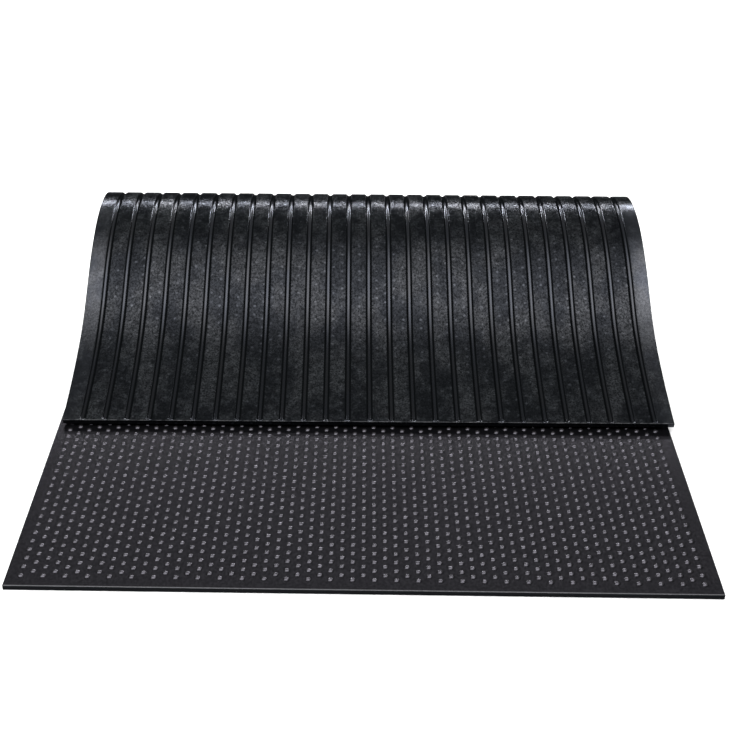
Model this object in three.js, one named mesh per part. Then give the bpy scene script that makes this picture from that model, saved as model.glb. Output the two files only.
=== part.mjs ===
// Rubber stall mat with its back part folded up and over towards the front.
// The lower leaf lies studded face up; the fold turns the grooved underside of
// the upper leaf to the top, and the free edge rests on the lower leaf's studs.
// Frame: millimetres, +Z up, +X right, +Y from the front edge to the fold.
// The studs themselves are fine relief and are not cut into this body.

import * as THREE from 'three';

// Sheet sizes
const MAT_LENGTH = 2000;
const MAT_WIDTH = 1200;
const MAT_THICKNESS = 10;
const STUD_HEIGHT = 2.5;

// Drainage grooves along the underside. Each runs out to a faint trace just
// short of both cut ends.
const GROOVE_PITCH = 43.2;
const GROOVE_WIDTH = 12;
const GROOVE_FLOOR_WIDTH = 6;
const GROOVE_DEPTH = 4;
const GROOVE_END_DEPTH = 0.3;
const GROOVE_END_LAND = 4;
const GROOVE_RUN_OUT = 4;
const EDGE_LAND_MIN = 25;

// The fold: how much of the length it takes up, how much taller it stands at its
// right-hand end than at its left, and how many degrees its axis is off square
const FOLD_RUN = 1090;
const FOLD_RISE = 6;
const FOLD_SKEW = THREE.MathUtils.degToRad(0.32);

// Slope of the sheet at places along the fold: share of the fold's run, degrees
const FOLD_SLOPES = [
  [0, 0],
  [0.06, 3.2],
  [0.145, 14],
  [0.21, 47],
  [0.27, 90],
  [0.335, 133],
  [0.4, 167],
  [0.48, 187.5],
  [0.58, 204],
  [0.69, 212],
  [0.82, 197.5],
  [1, 189],
];
const HALF_TURN = 180;

// How finely the fold is cut into flat facets, and how finely it is worked out
const FACET_TURN = 9;
const PATH_STEPS = 1200;
const SOLVER_STEPS = 40;

const RUBBER = { color: 0x2b2d31, roughness: 0.72, metalness: 0 };

// Depth of the grooves at a run along the sheet
function grooveDepth(run) {
  const fromEnd = Math.min(run, MAT_LENGTH - run);
  const share = THREE.MathUtils.clamp((fromEnd - GROOVE_END_LAND) / GROOVE_RUN_OUT, 0, 1);
  return THREE.MathUtils.lerp(GROOVE_END_DEPTH, GROOVE_DEPTH, share);
}

// Across the width: one closed outline of the section at a run, its top face up,
// as points [across, up from mid-thickness], counter-clockwise
function sectionOutline(run) {
  const halfWidth = MAT_WIDTH / 2;
  const halfThickness = MAT_THICKNESS / 2;
  const reach = halfWidth - EDGE_LAND_MIN - GROOVE_WIDTH / 2;
  const groovesEachSide = Math.floor(reach / GROOVE_PITCH);
  const grooveTop = grooveDepth(run) - halfThickness;
  const points = [[-halfWidth, -halfThickness]];
  for (let i = -groovesEachSide; i <= groovesEachSide; i += 1) {
    const middle = i * GROOVE_PITCH;
    points.push([middle - GROOVE_WIDTH / 2, -halfThickness]);
    points.push([middle - GROOVE_FLOOR_WIDTH / 2, grooveTop]);
    points.push([middle + GROOVE_FLOOR_WIDTH / 2, grooveTop]);
    points.push([middle + GROOVE_WIDTH / 2, -halfThickness]);
  }
  points.push([halfWidth, -halfThickness]);
  points.push([halfWidth, halfThickness]);
  points.push([-halfWidth, halfThickness]);
  return points;
}

// Walks along the middle of the sheet from the front edge to the free edge.
// overturn scales the part of each slope that lies past the half turn.
function walkFold(overturn) {
  const knots = FOLD_SLOPES.map(([share, slope]) => {
    const past = Math.max(slope - HALF_TURN, 0);
    return new THREE.Vector2(share, slope - past + past * overturn);
  });
  const slopes = new THREE.SplineCurve(knots);
  const path = [];
  let y = MAT_LENGTH - FOLD_RUN;
  let z = MAT_THICKNESS / 2;
  let before = knots[0];
  path.push({ run: y, y, z, slope: 0 });
  for (let i = 1; i <= PATH_STEPS; i += 1) {
    const here = slopes.getPoint(i / PATH_STEPS);
    const step = (here.x - before.x) * FOLD_RUN;
    const slope = THREE.MathUtils.degToRad((here.y + before.y) / 2);
    y += step * Math.cos(slope);
    z += step * Math.sin(slope);
    path.push({
      run: MAT_LENGTH - FOLD_RUN + here.x * FOLD_RUN,
      y,
      z,
      slope: THREE.MathUtils.degToRad(here.y),
    });
    before = here;
  }
  return path;
}

// Turns the upper leaf down until its free edge stands on the lower leaf, stud
// on stud
function restingFold() {
  const restHeight = MAT_THICKNESS * 1.5 + STUD_HEIGHT * 2;
  let low = 0;
  let high = 3;
  for (let i = 0; i < SOLVER_STEPS; i += 1) {
    const overturn = (low + high) / 2;
    if (walkFold(overturn).at(-1).z > restHeight) {
      low = overturn;
    } else {
      high = overturn;
    }
  }
  return walkFold((low + high) / 2);
}

// The runs at which the facets of the sheet meet: where the grooves run out at
// both ends, where the flat part stops, before the skewed fold begins at the
// sheet's left edge, and after each turn of FACET_TURN, counted both ways
function facetRuns(path) {
  const flatRun = path[0].run - (MAT_WIDTH / 2) * Math.tan(FOLD_SKEW);
  const fullDepth = GROOVE_END_LAND + GROOVE_RUN_OUT;
  const runs = [0, GROOVE_END_LAND, fullDepth, flatRun];
  const limit = THREE.MathUtils.degToRad(FACET_TURN);
  let turned = limit / 2;
  for (let i = 1; i < path.length - 1; i += 1) {
    turned += Math.abs(path[i].slope - path[i - 1].slope);
    if (turned >= limit && path[i].run < MAT_LENGTH - 2 * fullDepth) {
      runs.push(path[i].run);
      turned -= limit;
    }
  }
  runs.push(MAT_LENGTH - fullDepth, MAT_LENGTH - GROOVE_END_LAND, MAT_LENGTH);
  return runs;
}

// Where the middle of the sheet lies, and its slope, at a run along the sheet.
// Past either end it goes on straight.
function placeAt(path, run) {
  if (run <= path[0].run) {
    return { y: run, z: path[0].z, slope: 0 };
  }
  let i = 1;
  while (i < path.length - 1 && path[i].run < run) {
    i += 1;
  }
  const a = path[i - 1];
  const b = path[i];
  const share = (run - a.run) / (b.run - a.run);
  return {
    y: THREE.MathUtils.lerp(a.y, b.y, share),
    z: THREE.MathUtils.lerp(a.z, b.z, share),
    slope: THREE.MathUtils.lerp(a.slope, b.slope, share),
  };
}

// A point of the flat sheet, taken round the fold, whose axis is turned by
// FOLD_SKEW in the plane of the floor
function foldPoint(path, height, across, up, run) {
  const cos = Math.cos(FOLD_SKEW);
  const sin = Math.sin(FOLD_SKEW);
  const alongAxis = across * cos + run * sin;
  const place = placeAt(path, run * cos - across * sin);
  const back = place.y - up * Math.sin(place.slope);
  const taller = 1 + (FOLD_RISE / height) * (across / MAT_WIDTH);
  return new THREE.Vector3(
    alongAxis * cos - back * sin,
    alongAxis * sin + back * cos,
    path[0].z + (place.z - path[0].z) * taller + up * Math.cos(place.slope),
  );
}

// The whole mat as one closed body: the section carried along the fold, with
// its two cut ends closed
function matGeometry() {
  const path = restingFold();
  const runs = facetRuns(path);
  const height = Math.max(...path.map((place) => place.z)) - path[0].z;
  const count = sectionOutline(0).length;
  const positions = [];
  for (const run of runs) {
    for (const [across, up] of sectionOutline(run)) {
      positions.push(...foldPoint(path, height, across, up, run).toArray());
    }
  }

  const faces = [];
  for (let ring = 0; ring < runs.length - 1; ring += 1) {
    for (let i = 0; i < count; i += 1) {
      const a = ring * count + i;
      const b = ring * count + ((i + 1) % count);
      faces.push(a, b + count, b);
      faces.push(a, a + count, b + count);
    }
  }
  const flat = sectionOutline(0).map(([across, up]) => new THREE.Vector2(across, up));
  const lastRing = (runs.length - 1) * count;
  for (const [a, b, c] of THREE.ShapeUtils.triangulateShape(flat, [])) {
    faces.push(a, b, c);
    faces.push(lastRing + a, lastRing + c, lastRing + b);
  }

  const geometry = new THREE.BufferGeometry();
  geometry.setAttribute('position', new THREE.Float32BufferAttribute(positions, 3));
  geometry.setIndex(faces);
  return geometry;
}

// Moves the body so that its box stands centred over the origin, on Z = 0
function centreOnFloor(geometry) {
  geometry.computeBoundingBox();
  const middle = geometry.boundingBox.getCenter(new THREE.Vector3());
  geometry.translate(-middle.x, -middle.y, -geometry.boundingBox.min.z);
  geometry.computeVertexNormals();
  return geometry;
}

const mat = new THREE.Mesh(
  centreOnFloor(matGeometry()),
  new THREE.MeshStandardMaterial(RUBBER),
);
mat.name = 'mat';

const stallMat = new THREE.Group();
stallMat.add(mat);

export default stallMat;
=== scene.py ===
# A rubber stall mat, studded on top and grooved underneath, lying on a pale
# floor with its back part folded up and over towards the front.

import math

import bmesh
import bpy
from mathutils import Matrix, Vector


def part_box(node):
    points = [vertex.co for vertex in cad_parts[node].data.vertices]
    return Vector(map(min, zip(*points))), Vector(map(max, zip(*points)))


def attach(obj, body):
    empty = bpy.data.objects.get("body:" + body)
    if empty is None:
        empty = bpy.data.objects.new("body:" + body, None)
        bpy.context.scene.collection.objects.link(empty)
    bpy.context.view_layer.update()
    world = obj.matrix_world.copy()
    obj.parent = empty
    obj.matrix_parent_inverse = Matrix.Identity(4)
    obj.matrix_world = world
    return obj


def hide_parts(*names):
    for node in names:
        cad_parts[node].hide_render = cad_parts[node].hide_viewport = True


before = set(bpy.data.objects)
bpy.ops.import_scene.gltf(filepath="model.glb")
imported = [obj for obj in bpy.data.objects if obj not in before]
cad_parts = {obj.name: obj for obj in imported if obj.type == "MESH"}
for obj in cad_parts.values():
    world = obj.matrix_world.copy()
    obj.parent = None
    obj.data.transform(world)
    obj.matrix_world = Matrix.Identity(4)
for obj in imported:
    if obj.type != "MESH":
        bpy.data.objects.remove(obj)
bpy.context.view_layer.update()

# Sheet sizes, in metres
MAT_LENGTH = 2.0
MAT_WIDTH = 1.2
MAT_THICKNESS = 0.010
ARRIS_RADIUS = 0.0009
END_ARRIS_RADIUS = 0.00072

# Drainage grooves along the underside, which run out short of both cut ends
GROOVE_PITCH = 0.0432
GROOVE_WIDTH = 0.012
GROOVE_FLOOR_WIDTH = 0.006
GROOVE_DEPTH = 0.004
GROOVE_END_DEPTH = 0.0003
GROOVE_END_LAND = 0.004
GROOVE_RUN_OUT = 0.004
GROOVES_EACH_SIDE = 13
EDGE_LAND = 0.025
GROOVE_MOUTH_RADIUS = 0.0016
GROOVE_FLOOR_RADIUS = 0.0028
ROUNDING_STEPS = 3

# Studs: rows across the mat, alternately of 32 and 31, on a hexagonal pattern
STUD_HEIGHT = 0.0025
STUD_RADIUS = 0.0060
STUD_SINK = 0.0004
STUD_PROFILE = ((0.84, 0.34), (0.58, 0.68), (0.28, 0.92))
STUD_SIDES = 12
MERGE_DISTANCE = 1e-6
STUD_PITCH = 0.0370
STUD_SHIFT = -0.0015
STUDS_PER_ROW = 32
ROW_PITCH = STUD_PITCH / (2 * math.sqrt(3))
FRONT_MARGIN = 0.0245
STUD_ROWS = (
    ("studs_front", 0, 42), ("studs_middle", 42, 42),
    ("studs_fold", 84, 50), ("studs_upper_leaf", 134, 50),
)

# The fold: its run along the sheet, how far off square its axis is, how much
# taller it stands at its right-hand end, and its slope in degrees at shares of
# its run
FOLD_RUN = 1.090
FOLD_SKEW = math.radians(0.32)
FOLD_RISE = 0.006
FOLD_SLOPES = (
    (0, 0), (0.06, 3.2), (0.145, 14), (0.21, 47), (0.27, 90), (0.335, 133),
    (0.4, 167), (0.48, 187.5), (0.58, 204), (0.69, 212), (0.82, 197.5), (1, 189),
)
HALF_TURN = 180

# How finely the fold is worked out, and how the rows of the sheet's mesh lie: a
# step apart on the flat part, and then a row after each turn of the bend
PATH_STEPS = 1200
SOLVER_STEPS = 30
LARGEST_OVERTURN = 3.0
FLAT_ROWS = 17
FLAT_ROW_STEP = 0.05
ROW_TURN = math.radians(2.5)
LAST_BEND_ROW = MAT_LENGTH - 0.012

# Where the camera stands, from the middle of the front edge at floor level
CAMERA_PLACE = Vector((-0.0167, -1.4621, 1.4371))
CAMERA_PITCH = math.radians(33.771)
CAMERA_YAW = math.radians(0.420)
CAMERA_ROLL = math.radians(1.066)
FOCAL_PIXELS = 1212.0
IMAGE_PIXELS = 730
SENSOR_WIDTH = 36.0


# Fold path

def slope_at(share, overturn):
    """Share of the fold's run and slope, on a smooth curve through FOLD_SLOPES."""
    knots = []
    for place, slope in FOLD_SLOPES:
        past = max(slope - HALF_TURN, 0)
        knots.append((place, slope - past + past * overturn))
    last = len(knots) - 1
    along = share * last
    first = min(int(along), last)
    t = along - first
    a = knots[max(first - 1, 0)]
    b = knots[first]
    c = knots[min(first + 1, last)]
    d = knots[min(first + 2, last)]
    found = []
    for k in (0, 1):
        start = (c[k] - a[k]) / 2
        end = (d[k] - b[k]) / 2
        cubic = 2 * b[k] - 2 * c[k] + start + end
        square = 3 * c[k] - 3 * b[k] - 2 * start - end
        found.append(((cubic * t + square) * t + start) * t + b[k])
    return found


def walk_fold(overturn):
    """Places (run, y, z, slope) of the middle of the sheet, all along the fold."""
    y = MAT_LENGTH - FOLD_RUN
    z = MAT_THICKNESS / 2
    before = slope_at(0, overturn)
    places = [(y, y, z, 0.0)]
    for i in range(1, PATH_STEPS + 1):
        here = slope_at(i / PATH_STEPS, overturn)
        step = (here[0] - before[0]) * FOLD_RUN
        slope = math.radians((here[1] + before[1]) / 2)
        y += step * math.cos(slope)
        z += step * math.sin(slope)
        run = MAT_LENGTH - FOLD_RUN + here[0] * FOLD_RUN
        places.append((run, y, z, math.radians(here[1])))
        before = here
    return places


def resting_fold():
    """The fold whose free edge rests stud on stud on the lower leaf."""
    rest_height = MAT_THICKNESS * 1.5 + STUD_HEIGHT * 2
    low, high = 0.0, LARGEST_OVERTURN
    for _ in range(SOLVER_STEPS):
        overturn = (low + high) / 2
        if walk_fold(overturn)[-1][2] > rest_height:
            low = overturn
        else:
            high = overturn
    return walk_fold((low + high) / 2)


FOLD = resting_fold()
FOLD_HEIGHT = max(place[2] for place in FOLD) - MAT_THICKNESS / 2
BOX_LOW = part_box("mat")[0]
SHIFT = Vector((BOX_LOW[0] + MAT_WIDTH / 2, BOX_LOW[1], 0))


def place_at(run):
    """y, z and slope of the middle of the sheet; straight on past either end."""
    if run <= FOLD[0][0]:
        return run, FOLD[0][2], 0.0
    low, high = 0, len(FOLD) - 1
    while high - low > 1:
        middle = (low + high) // 2
        if FOLD[middle][0] < run:
            low = middle
        else:
            high = middle
    a, b = FOLD[low], FOLD[high]
    t = (run - a[0]) / (b[0] - a[0])
    return tuple(a[k] + (b[k] - a[k]) * t for k in (1, 2, 3))


def fold_point(flat):
    """A point of the flat sheet (across, run, up) taken round the skewed fold."""
    across, run, up = flat
    cos, sin = math.cos(FOLD_SKEW), math.sin(FOLD_SKEW)
    along_axis = across * cos + run * sin
    y, z, slope = place_at(run * cos - across * sin)
    back = y - up * math.sin(slope)
    taller = 1 + FOLD_RISE / FOLD_HEIGHT * across / MAT_WIDTH
    floor = MAT_THICKNESS / 2
    return SHIFT + Vector((
        along_axis * cos - back * sin,
        along_axis * sin + back * cos,
        floor + (z - floor) * taller + up * math.cos(slope),
    ))


def fold_runs():
    """Runs at which rows of the sheet's mesh lie: close together round the bend."""
    full_depth = GROOVE_END_LAND + GROOVE_RUN_OUT
    runs = [0, GROOVE_END_LAND, full_depth]
    runs.extend(i * FLAT_ROW_STEP for i in range(1, FLAT_ROWS + 1))
    turned = 0.0
    for before, here in zip(FOLD, FOLD[1:]):
        turned += abs(here[3] - before[3])
        if turned >= ROW_TURN and here[0] < LAST_BEND_ROW:
            runs.append(here[0])
            turned = 0.0
    runs.extend((MAT_LENGTH - full_depth, MAT_LENGTH - GROOVE_END_LAND, MAT_LENGTH))
    return runs


def groove_share(run):
    """Share of the grooves' full depth at a run along the sheet."""
    from_end = min(run, MAT_LENGTH - run)
    share = min(max((from_end - GROOVE_END_LAND) / GROOVE_RUN_OUT, 0), 1)
    trace = GROOVE_END_DEPTH / GROOVE_DEPTH
    return trace + (1 - trace) * share


# Shapes

def shading_normal(vert):
    """Weighted by area, so that a flat face stays flat beside its rounded edges.
    The sunk feet of the studs, with STUD_SIDES sides, are left out of it."""
    faces = [face for face in vert.link_faces if len(face.verts) != STUD_SIDES]
    return sum((face.normal * face.calc_area() for face in faces), Vector()).normalized()


def finish_piece(bm, name, material):
    """Keeps each point's flat place, folds the piece, and makes it an object."""
    flat = bm.verts.layers.float_vector.new("flat")
    for vert in bm.verts:
        vert[flat] = vert.co
        vert.co = fold_point(vert.co)
    for face in bm.faces:
        face.smooth = True
        face.normal_update()
    normals = [shading_normal(vert) for vert in bm.verts]
    mesh = bpy.data.meshes.new(name)
    bm.to_mesh(mesh)
    bm.free()
    mesh.normals_split_custom_set_from_vertices(normals)
    mesh.materials.append(material)
    piece = bpy.data.objects.new(name, mesh)
    bpy.context.scene.collection.objects.link(piece)
    return piece


def section_points():
    """The sheet's section as (across, up), and the radius that rounds each point."""
    half_width = MAT_WIDTH / 2
    half = MAT_THICKNESS / 2
    top = GROOVE_DEPTH - half
    points = [(-half_width, -half, ARRIS_RADIUS)]
    for i in range(-GROOVES_EACH_SIDE, GROOVES_EACH_SIDE + 1):
        middle = i * GROOVE_PITCH
        for side in (-1, 1):
            mouth = (middle + side * GROOVE_WIDTH / 2, -half, GROOVE_MOUTH_RADIUS)
            floor = (middle + side * GROOVE_FLOOR_WIDTH / 2, top, GROOVE_FLOOR_RADIUS)
            points.extend((mouth, floor) if side < 0 else (floor, mouth))
    points.append((half_width, -half, ARRIS_RADIUS))
    points.append((half_width, half, ARRIS_RADIUS))
    for i in range(GROOVES_EACH_SIDE, -GROOVES_EACH_SIDE - 1, -1):
        points.append((i * GROOVE_PITCH, half, 0))
    points.append((-half_width, half, ARRIS_RADIUS))
    return points


def make_sheet(material):
    """The grooved sheet: its rounded section drawn out and cut into rows."""
    bm = bmesh.new()
    points = section_points()
    verts = [bm.verts.new((across, 0, up)) for across, up, _ in points]
    bm.faces.new(verts)
    for radius in (ARRIS_RADIUS, GROOVE_MOUTH_RADIUS, GROOVE_FLOOR_RADIUS):
        corners = [v for v, p in zip(verts, points) if p[2] == radius]
        bmesh.ops.bevel(
            bm, geom=corners, offset=radius, offset_type="OFFSET",
            affect="VERTICES", segments=ROUNDING_STEPS, profile=0.5, material=-1)
    drawn = bmesh.ops.extrude_face_region(bm, geom=bm.faces[:])
    ends = [v for v in drawn["geom"] if isinstance(v, bmesh.types.BMVert)]
    bmesh.ops.translate(bm, verts=ends, vec=(0, MAT_LENGTH, 0))
    runs = fold_runs()
    long_edges = [e for e in bm.edges if e.calc_length() > MAT_LENGTH / 2]
    bmesh.ops.subdivide_edges(bm, edges=long_edges, cuts=len(runs) - 2)
    for vert in bm.verts:
        row = round(vert.co.y / MAT_LENGTH * (len(runs) - 1))
        vert.co.y = runs[row]
        in_groove = abs(vert.co.x) < MAT_WIDTH / 2 - EDGE_LAND and vert.co.z < 0
        if in_groove:
            depth = vert.co.z + MAT_THICKNESS / 2
            vert.co.z = depth * groove_share(runs[row]) - MAT_THICKNESS / 2
    rims = [e for e in bm.edges if {v.co.y for v in e.verts} in ({0.0}, {MAT_LENGTH})]
    bmesh.ops.bevel(
        bm, geom=rims, offset=END_ARRIS_RADIUS, offset_type="OFFSET",
        affect="EDGES", segments=ROUNDING_STEPS, profile=0.5, material=-1)
    bmesh.ops.recalc_face_normals(bm, faces=bm.faces)
    return finish_piece(bm, "mat_sheet", material)


def make_studs(name, first_row, rows, material):
    """Rows of studs: low domes, each with its foot sunk in the sheet."""
    bm = bmesh.new()
    verts = [bm.verts.new((STUD_RADIUS, 0, -STUD_SINK))]
    for share, rise in STUD_PROFILE:
        verts.append(bm.verts.new((STUD_RADIUS * share, 0, STUD_HEIGHT * rise)))
    verts.append(bm.verts.new((0, 0, STUD_HEIGHT)))
    edges = [bm.edges.new(pair) for pair in zip(verts, verts[1:])]
    bmesh.ops.spin(
        bm, geom=verts + edges, cent=(0, 0, 0), axis=(0, 0, 1),
        angle=math.tau, steps=STUD_SIDES, use_merge=True)
    bmesh.ops.remove_doubles(bm, verts=bm.verts, dist=MERGE_DISTANCE)
    bmesh.ops.holes_fill(bm, edges=[e for e in bm.edges if e.is_boundary], sides=0)
    bmesh.ops.recalc_face_normals(bm, faces=bm.faces)

    left = STUD_SHIFT - (STUDS_PER_ROW - 1) / 2 * STUD_PITCH
    first = (left, FRONT_MARGIN + first_row * ROW_PITCH, MAT_THICKNESS / 2)
    bmesh.ops.translate(bm, verts=bm.verts, vec=first)
    repeat(bm, STUDS_PER_ROW - 1, (STUD_PITCH, 0, 0))
    last = left + (STUDS_PER_ROW - 1) * STUD_PITCH
    inner = [v for v in bm.verts if v.co.x < last - STUD_PITCH / 2]
    inner_faces = list({f for v in inner for f in v.link_faces})
    copied = bmesh.ops.duplicate(bm, geom=inner_faces)
    second = [v for v in copied["geom"] if isinstance(v, bmesh.types.BMVert)]
    bmesh.ops.translate(bm, verts=second, vec=(STUD_PITCH / 2, ROW_PITCH, 0))
    repeat(bm, rows // 2 - 1, (0, 2 * ROW_PITCH, 0))
    return finish_piece(bm, name, material)


def repeat(bm, times, step):
    """Copies all of bm a number of times, each copy a step on from the last."""
    bmesh.ops.spin(
        bm, geom=bm.verts[:] + bm.edges[:] + bm.faces[:], steps=times, dvec=step,
        use_duplicate=True)


# Finishes

class Value:
    """A socket that can stand in a sum."""

    def __init__(self, finish, socket):
        self.finish = finish
        self.socket = socket

    def __add__(self, other):
        return self.finish.sum("ADD", self, other)

    def __sub__(self, other):
        return self.finish.sum("SUBTRACT", self, other)

    def __rsub__(self, other):
        return self.finish.sum("SUBTRACT", other, self)

    def __mul__(self, other):
        return self.finish.sum("MULTIPLY", self, other)

    def __truediv__(self, other):
        return self.finish.sum("DIVIDE", self, other)

    def __pow__(self, other):
        return self.finish.sum("POWER", self, other)

    __radd__ = __add__
    __rmul__ = __mul__


class Finish:
    """A material and the nodes that make it."""

    def __init__(self, name):
        self.material = bpy.data.materials.new(name)
        self.material.use_nodes = True
        self.tree = self.material.node_tree
        self.shader = self.tree.nodes["Principled BSDF"]

    def node(self, kind, settings=None, inputs=None, output=0):
        """Any node: its settings first, then the values or links of its sockets."""
        made = self.tree.nodes.new(kind)
        for name, setting in (settings or {}).items():
            setattr(made, name, setting)
        for name, value in (inputs or {}).items():
            self.join(made.inputs[name], value)
        return Value(self, made.outputs[output])

    def join(self, socket, value):
        """Links a value to a socket, or sets the socket to a number or a colour."""
        if isinstance(value, Value):
            self.tree.links.new(value.socket, socket)
        else:
            socket.default_value = value

    def sum(self, operation, a, b):
        """One Math node, working on two values or numbers."""
        return self.node("ShaderNodeMath", {"operation": operation}, {0: a, 1: b})

    def clamp(self, value):
        """The value, kept between 0 and 1."""
        return self.node("ShaderNodeClamp", inputs={"Value": value})

    def from_whole(self, value):
        """How far a value lies from the nearest whole number."""
        return self.sum("PINGPONG", value, 0.5)

    def ramp(self, value, low, high):
        """0 below low, 1 above high, smooth between."""
        return self.node(
            "ShaderNodeMapRange", {"interpolation_type": "SMOOTHSTEP"},
            {"Value": value, "From Min": low, "From Max": high})

    def noise(self, where, scale, detail, roughness, stretch=(1, 1, 1)):
        """Noise of about one spot in each 1 / scale metres, from 0 to 1."""
        spread = self.node("ShaderNodeMapping", inputs={"Vector": where, "Scale": stretch})
        return self.node(
            "ShaderNodeTexNoise",
            inputs={"Vector": spread, "Scale": scale, "Detail": detail, "Roughness": roughness})

    def mix(self, factor, a, b):
        """Colour a where factor is 0, b where it is 1."""
        return self.node(
            "ShaderNodeMix", {"data_type": "RGBA"}, {0: factor, 6: a, 7: b}, output=2)

    def bump(self, height, distance, strength, under=None):
        """A relief of the given distance, laid over the normal under it."""
        inputs = {"Height": height, "Distance": distance, "Strength": strength}
        if under:
            inputs["Normal"] = under
        return self.node("ShaderNodeBump", inputs=inputs)

    def flat_place(self):
        """Across, run and up of the point on the sheet before it was folded."""
        flat = self.node("ShaderNodeAttribute", {"attribute_name": "flat"}, output=1)
        parts = self.node("ShaderNodeSeparateXYZ", inputs={"Vector": flat})
        node = parts.socket.node
        return flat, *(Value(self, node.outputs[k]) for k in range(3))

    def object_place(self):
        """The point's place in the folded mat."""
        return self.node("ShaderNodeTexCoord", output=3)


# Colours of the rubber, and of the thin gloss over it; the bluish tint of the gloss colours is the
# overhead light's colour, painted in
BODY_COLOUR = (0.0028, 0.0028, 0.0033, 1)
UNDERSIDE_COLOUR = (0.0022, 0.0026, 0.0029, 1)
DUST_COLOUR = (0.0120, 0.0136, 0.0146, 1)
# Pale rims of the cut ends: a painted highlight
EDGE_HIGHLIGHT_COLOUR = (0.075, 0.076, 0.078, 1)
# Paler stud crowns: a painted highlight
CROWN_HIGHLIGHT_COLOUR = (0.016, 0.016, 0.017, 1)
TOP_SHEEN_COLOUR = (0.91, 0.88, 1.0, 1)
UNDERSIDE_SHEEN_COLOUR = (0.80, 0.85, 1.0, 1)
GREY_SHEEN_COLOUR = (0.85, 0.87, 0.96, 1)
MATT_ROUGHNESS = 0.9

# Patterns in the rubber: scale, detail, roughness and stretch of each noise
PATCHES = (9.0, 4.0, 0.6, (1.3, 0.8, 1))
CLOUD = (60.0, 5.0, 0.65)
BLOTCHES = (260.0, 3.0, 0.7, (1, 0.7, 1))
SPECKLE = (330.0, 3.0, 0.7)
WAVES = (60.0, 3.0, 0.6)
GRAIN = (900.0, 2.0, 0.6)
STUD_VARIATION = (30.0, 2.0, 0.5)
STUD_GRAIN = (200.0, 2.0, 0.5)

# Each pair below says where a change begins and where it is complete. First come
# the faces of the sheet, as heights from the middle of its thickness
TOP_FACE = (0.0042, 0.0046)
LAND_FACE = (-0.0044, -0.0049)
GROOVE_FLOOR = (-0.0022, -0.0016)
SHOULDER_END = (-0.0042, -0.0034)

# Places across the sheet, from its middle
MARGIN_START = (0.564, 0.572)
RIGHT_MARGIN = (0.565, 0.590)

# Places along the sheet, from its front edge
BEND_END = (1.27, 1.36)
LEAF_START = (1.36, 1.44)
MARGIN_FADE = (1.62, 1.76)
GROOVE_FADE = (1.66, 1.80)

# Parts of a pattern that show
DUST_PATCHES = (0.42, 0.60)
DUST_SPECKS = (0.38, 0.60)
EDGE_HIGHLIGHT_CLOUDS = (0.35, 0.65)
GREY_PATCHES = (0.40, 0.60)
MOTTLE_PATCHES = (0.38, 0.62)
MOTTLE_BLOTCHES = (0.40, 0.60)
FINE_SPOTS = (0.36, 0.64)
DOT_CLOUDS = (0.42, 0.58)

# Painted highlights along the rims of the two cut ends, by how far from the end they begin and are
# full, and their strength at the front and at the free edge
EDGE_HIGHLIGHT_START = 0.0026
EDGE_HIGHLIGHT_FULL = 0.0012
FRONT_EDGE_HIGHLIGHT = 0.9
FREE_EDGE_HIGHLIGHT = 0.7

# Mottling: how much of it is blotches and speckle, its least strength and what a
# pattern adds to it, and where and to what level it is calmed
BLOTCH_SHARE = 0.8
SPECKLE_SHARE = 0.4
PATCH_LEAST = 0.62
PATCH_ADDED = 0.7
CLOUD_LEAST = 0.4
CLOUD_ADDED = 1.1
CALM_MARGIN = 0.55
CALM_BEND = 0.75
CALM_LEVEL = 0.62

# Dots that the studs of the other face print through the sheet
DOT_RADIUS = 0.0040
DOT_CORE = 0.3

# Sheen, as the gloss's share of the surface: of the underside's lands, of its
# grooves on the bend and on the upper leaf, and of the upper face
LAND_SHEEN = 0.004
MOTTLE_SHEEN = 0.019
DOT_SHEEN = 0.030
WALL_SHEEN = 0.004
SHOULDER_SHEEN = 0.034
GROOVE_SHEEN = 0.006
LEAF_GROOVE_SHEEN = 0.042
GROOVE_FADING = 0.55
TOP_SHEEN = 0.022
TOP_BLOTCH_SHEEN = 0.026
TOP_SPECKLE_SHEEN = 0.014

# How much more sheen the margins have than the lands: everywhere, on the upper
# leaf, and at the leaf's right-hand side, and how far that fades along the leaf
MARGIN_MORE = 0.3
LEAF_MARGIN_MORE = 1.1
RIGHT_MARGIN_MORE = 1.2
MARGIN_FADING = 0.6

# Roughness of the gloss, and the relief of grain and waves
GLOSS_ROUGHNESS = 0.15
CLOUD_ROUGHNESS = 0.04
DUST_ROUGHNESS = 0.06
GRAIN_RELIEF = 0.00012
GRAIN_STRENGTH = 0.5
WAVE_RELIEF = 0.0008
WAVE_STRENGTH = 0.4

# Studs: the shares of their height where the paler crown, a painted highlight, begins and is full,
# its least strength, and their gloss and grain
CROWN_START = 0.35
CROWN_FULL = 0.65
LEAST_CROWN_HIGHLIGHT = 0.4
STUD_SHEEN = 0.036
STUD_VARIED_SHEEN = 0.030
STUD_ROUGHNESS = 0.27
STUD_GRAIN_RELIEF = 0.00004

# The pale floor
FLOOR_COLOUR = (0.92, 0.92, 0.92, 1)
FLOOR_ROUGHNESS = 0.9
FLOOR_GLOW = 0.2
FLOOR_REACH = 30


def rubber_look(finish, colour, sheen_colour, sheen, rough, normal):
    """A matt body under a thin gloss of even strength: sheen is its share."""
    body = finish.shader
    body.inputs["Specular IOR Level"].default_value = 0.0
    body.inputs["Roughness"].default_value = MATT_ROUGHNESS
    finish.join(body.inputs["Base Color"], colour)
    finish.join(body.inputs["Normal"], normal)
    gloss = finish.node(
        "ShaderNodeBsdfPrincipled",
        inputs={"Base Color": sheen_colour, "Metallic": 1.0, "Roughness": rough, "Normal": normal})
    mixed = finish.node(
        "ShaderNodeMixShader",
        inputs={0: sheen, 1: Value(finish, body.outputs[0]), 2: gloss})
    surface = finish.tree.nodes["Material Output"].inputs["Surface"]
    finish.join(surface, mixed)
    return finish.material


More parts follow.
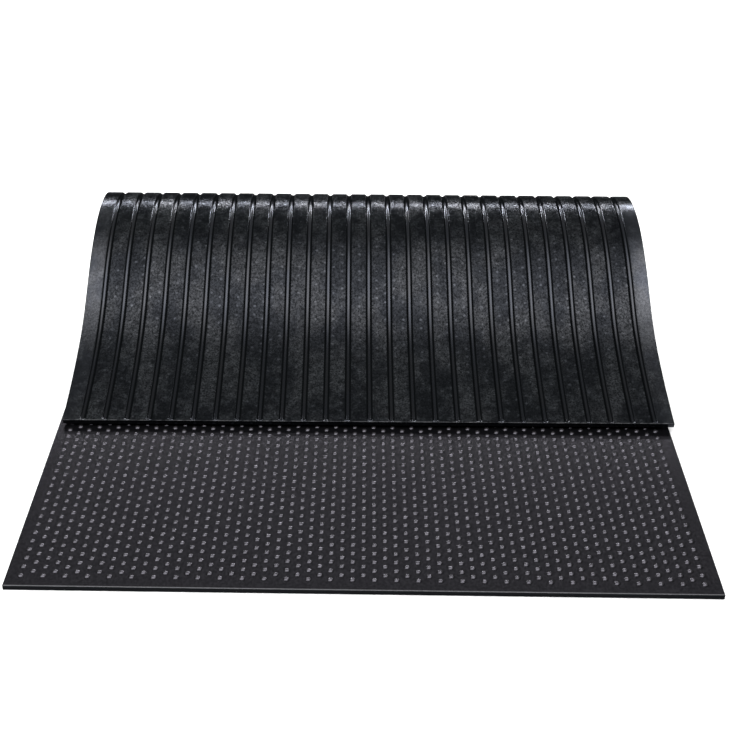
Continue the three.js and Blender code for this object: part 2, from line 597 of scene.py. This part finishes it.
class SheetPatterns:
    """The faces, margins and patterns of the sheet, as values from 0 to 1."""

    def __init__(self, finish):
        self.flat, self.across, self.run, up = finish.flat_place()
        self.topside = finish.ramp(up, *TOP_FACE)
        self.land = finish.ramp(up, *LAND_FACE)
        self.groove = finish.ramp(up, *GROOVE_FLOOR) * (1 - self.topside)
        self.wall = (1 - self.topside) * (1 - self.land) * (1 - self.groove)
        self.shoulder = 1 - finish.ramp(up, *SHOULDER_END)
        aside = finish.node("ShaderNodeMath", {"operation": "ABSOLUTE"}, {0: self.across})
        self.margin = finish.ramp(aside, *MARGIN_START)
        self.leaf = finish.ramp(self.run, *LEAF_START)
        self.patches = finish.noise(self.flat, *PATCHES)
        self.cloud = finish.noise(self.flat, *CLOUD)
        self.blotches = finish.noise(self.flat, *BLOTCHES)
        self.speckle = finish.noise(self.flat, *SPECKLE)


def sheet_dust(finish, sheet):
    """Dust on the lands of the underside."""
    dust = finish.ramp((sheet.patches + sheet.cloud) / 2, *DUST_PATCHES)
    return dust * finish.ramp(sheet.speckle, *DUST_SPECKS) * sheet.land


def sheet_colour(finish, sheet, dust):
    """Black rubber, greyed by dust, with a pale painted highlight along the rims of the cut ends.
    """
    colour = finish.mix(sheet.topside, UNDERSIDE_COLOUR, BODY_COLOUR)
    colour = finish.mix(dust, colour, DUST_COLOUR)
    front = sheet.topside * finish.ramp(sheet.run, EDGE_HIGHLIGHT_START, EDGE_HIGHLIGHT_FULL)
    far_end = finish.ramp(sheet.run, MAT_LENGTH - EDGE_HIGHLIGHT_START, MAT_LENGTH - EDGE_HIGHLIGHT_FULL)
    free_edge = sheet.land * far_end * finish.ramp(sheet.cloud, *EDGE_HIGHLIGHT_CLOUDS)
    # The pale rims are a painted highlight, the line of light that a rounded rim catches.
    edge_highlight = front * FRONT_EDGE_HIGHLIGHT + free_edge * FREE_EDGE_HIGHLIGHT
    return finish.mix(edge_highlight, colour, EDGE_HIGHLIGHT_COLOUR)


def calm_places(finish, sheet):
    """Where the underside is smoother: in the margins and round the bend."""
    bend = 1 - finish.ramp(sheet.run, *BEND_END)
    return finish.clamp(sheet.margin * CALM_MARGIN + CALM_BEND * bend)


def mottling(finish, sheet, calm):
    """Blotches and specks, stronger in some patches and clouds than in others."""
    blotches = finish.ramp(sheet.blotches, *MOTTLE_BLOTCHES)
    specks = finish.ramp(sheet.speckle, *FINE_SPOTS)
    mottle = blotches * BLOTCH_SHARE + specks * SPECKLE_SHARE
    patches = finish.ramp(sheet.patches, *MOTTLE_PATCHES)
    mottle = mottle * (PATCH_LEAST + patches * PATCH_ADDED)
    mottle = mottle * (CLOUD_LEAST + sheet.cloud * CLOUD_ADDED)
    return mottle * (1 - calm) + calm * CALM_LEVEL


def stud_dots(finish, sheet):
    """Dots at the backs of the studs, where the clouds let them show."""
    column = (sheet.across - STUD_SHIFT) / STUD_PITCH + 0.5
    row = (sheet.run - FRONT_MARGIN) / (2 * ROW_PITCH)
    masks = []
    for half_step in (0.0, 0.5):
        x = finish.from_whole(column + half_step) * STUD_PITCH
        y = finish.from_whole(row + half_step) * (2 * ROW_PITCH)
        far = (x ** 2 + y ** 2) ** 0.5
        masks.append(1 - finish.ramp(far, DOT_RADIUS * DOT_CORE, DOT_RADIUS))
    dots = finish.sum("MAXIMUM", *masks) * finish.ramp(sheet.cloud, *DOT_CLOUDS)
    return dots * (1 - sheet.margin)


def margin_gain(finish, sheet):
    """How much more sheen the margins have than the lands beside them."""
    faded = 1 - finish.ramp(sheet.run, *MARGIN_FADE) * MARGIN_FADING
    right = finish.ramp(sheet.across, *RIGHT_MARGIN) * RIGHT_MARGIN_MORE
    return sheet.margin * (MARGIN_MORE + sheet.leaf * faded * (LEAF_MARGIN_MORE + right))


def underside_sheen(finish, sheet, calm):
    """The gloss's share on the lands, the groove floors and the groove walls."""
    mottle = mottling(finish, sheet, calm) * MOTTLE_SHEEN
    dots = stud_dots(finish, sheet) * DOT_SHEEN
    lands = sheet.land * (LAND_SHEEN + mottle + dots) * (1 + margin_gain(finish, sheet))
    faded = 1 - finish.ramp(sheet.run, *GROOVE_FADE) * GROOVE_FADING
    grooves = sheet.groove * (GROOVE_SHEEN + sheet.leaf * faded * LEAF_GROOVE_SHEEN)
    walls = sheet.wall * (WALL_SHEEN + sheet.shoulder * SHOULDER_SHEEN)
    return lands + grooves + walls


def top_sheen(finish, sheet):
    """The gloss's share on the studded face."""
    blotches = finish.ramp(sheet.blotches, *FINE_SPOTS) * TOP_BLOTCH_SHEEN
    specks = finish.ramp(sheet.speckle, *FINE_SPOTS) * TOP_SPECKLE_SHEEN
    return sheet.topside * (TOP_SHEEN + blotches + specks)


def sheet_finish():
    """Black rubber, dusty and mottled beneath, with the studs showing faintly through."""
    finish = Finish("black_rubber")
    sheet = SheetPatterns(finish)
    dust = sheet_dust(finish, sheet)
    calm = calm_places(finish, sheet)
    colour = sheet_colour(finish, sheet, dust)
    sheen = top_sheen(finish, sheet) + underside_sheen(finish, sheet, calm)
    # The bluish tint of the gloss is the overhead light's colour, painted into the reflections.
    grey = finish.ramp(sheet.patches, *GREY_PATCHES)
    sheen_colour = finish.mix(grey, UNDERSIDE_SHEEN_COLOUR, GREY_SHEEN_COLOUR)
    sheen_colour = finish.mix(sheet.topside, sheen_colour, TOP_SHEEN_COLOUR)
    rougher = (sheet.cloud * CLOUD_ROUGHNESS + dust * DUST_ROUGHNESS) * (1 - sheet.topside)
    grain = finish.noise(finish.object_place(), *GRAIN)
    normal = finish.bump(grain, GRAIN_RELIEF, GRAIN_STRENGTH)
    waves = finish.noise(sheet.flat, *WAVES) * sheet.land * (1 - calm)
    normal = finish.bump(waves, WAVE_RELIEF, WAVE_STRENGTH, under=normal)
    return rubber_look(finish, colour, sheen_colour, sheen, GLOSS_ROUGHNESS + rougher, normal)


def stud_finish():
    """The same rubber, with a painted highlight: a paler colour on the crown of each stud, patchy
    at random.
    """
    finish = Finish("stud_rubber_painted_crowns")
    flat, _, _, up = finish.flat_place()
    foot = MAT_THICKNESS / 2
    crown = finish.ramp(up, foot + STUD_HEIGHT * CROWN_START, foot + STUD_HEIGHT * CROWN_FULL)
    crown_variation = finish.noise(flat, *STUD_VARIATION)
    # The paler crown is a painted highlight on the top of each stud.
    colour = finish.mix(crown * finish.clamp(LEAST_CROWN_HIGHLIGHT + crown_variation), BODY_COLOUR, CROWN_HIGHLIGHT_COLOUR)
    grain = finish.noise(finish.object_place(), *STUD_GRAIN)
    normal = finish.bump(grain, STUD_GRAIN_RELIEF, GRAIN_STRENGTH)
    sheen = STUD_SHEEN + crown_variation * STUD_VARIED_SHEEN
    return rubber_look(finish, colour, TOP_SHEEN_COLOUR, sheen, STUD_ROUGHNESS, normal)


def floor_finish():
    """A pale matt floor that glows a little, so that the ground stays white."""
    finish = Finish("pale_floor")
    finish.shader.inputs["Base Color"].default_value = FLOOR_COLOUR
    finish.shader.inputs["Roughness"].default_value = FLOOR_ROUGHNESS
    finish.shader.inputs["Emission Color"].default_value = (1, 1, 1, 1)
    finish.shader.inputs["Emission Strength"].default_value = FLOOR_GLOW
    return finish.material


# Studio

# Soft lights: name, place, target, width and depth, brightness
LIGHTS = (
    ("overhead_light", (-0.95, -0.8, 2.6), (-0.95, -0.8, 0), (4.7, 2.0), 4.8),
    ("overhead_glow", (0.3, 0.5, 2.6), (0.3, 0.5, 0), (4.4, 0.6), 2.7),
    ("overhead_rim", (0, 1.0, 2.6), (0, 1.0, 0), (4.4, 0.4), 0.75),
    ("back_strip", (0, 3.5, 1.90), (0, 0.45, 0.2), (4.4, 0.11), 125.0),
    ("back_panel", (0, 2.2, 2.9), (0, -0.3, 0), (5.0, 2.8), 0.33),
)
SKY_BRIGHTNESS = 0.10


def make_floor():
    """A floor under the mat, kept out of the part."""
    bm = bmesh.new()
    bmesh.ops.create_grid(bm, x_segments=1, y_segments=1, size=FLOOR_REACH)
    mesh = bpy.data.meshes.new("floor")
    bm.to_mesh(mesh)
    bm.free()
    mesh.materials.append(floor_finish())
    floor = bpy.data.objects.new("floor", mesh)
    bpy.context.scene.collection.objects.link(floor)


def make_light(name, place, target, size, brightness):
    """A flat soft light of a given brightness, facing its target."""
    data = bpy.data.lights.new(name, "AREA")
    data.shape = "RECTANGLE"
    data.size, data.size_y = size
    data.energy = brightness * math.pi * size[0] * size[1]
    light = bpy.data.objects.new(name, data)
    bpy.context.scene.collection.objects.link(light)
    light.location = place
    light.rotation_euler = (Vector(target) - Vector(place)).to_track_quat("-Z", "Y").to_euler()


def make_lights():
    """The soft lights, and a faint sky all round."""
    for light in LIGHTS:
        make_light(*light)
    world = bpy.data.worlds.new("studio")
    world.use_nodes = True
    sky = world.node_tree.nodes["Background"]
    sky.inputs["Color"].default_value = (1, 1, 1, 1)
    sky.inputs["Strength"].default_value = SKY_BRIGHTNESS
    bpy.context.scene.world = world


def make_camera():
    """The photograph's view: pitched down, with a slight yaw and roll."""
    data = bpy.data.cameras.new("camera")
    data.sensor_width = SENSOR_WIDTH
    data.lens = FOCAL_PIXELS / IMAGE_PIXELS * SENSOR_WIDTH
    camera = bpy.data.objects.new("camera", data)
    bpy.context.scene.collection.objects.link(camera)
    ahead = Vector((
        math.sin(CAMERA_YAW) * math.cos(CAMERA_PITCH),
        math.cos(CAMERA_YAW) * math.cos(CAMERA_PITCH),
        -math.sin(CAMERA_PITCH)))
    level = Vector((math.cos(CAMERA_YAW), -math.sin(CAMERA_YAW), 0))
    upright = level.cross(ahead)
    right = level * math.cos(CAMERA_ROLL) + upright * math.sin(CAMERA_ROLL)
    up = upright * math.cos(CAMERA_ROLL) - level * math.sin(CAMERA_ROLL)
    camera.rotation_euler = Matrix((right, up, -ahead)).transposed().to_euler()
    camera.location = SHIFT + CAMERA_PLACE
    bpy.context.scene.camera = camera


make_camera()
make_lights()
make_floor()

rubber = sheet_finish()
stud_rubber_with_highlight = stud_finish()
sheet = make_sheet(rubber)
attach(sheet, "root")
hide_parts("mat")
for name, first_row, rows in STUD_ROWS:
    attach(make_studs(name, first_row, rows, stud_rubber_with_highlight), "root")

bpy.context.scene.view_settings.view_transform = "Standard"
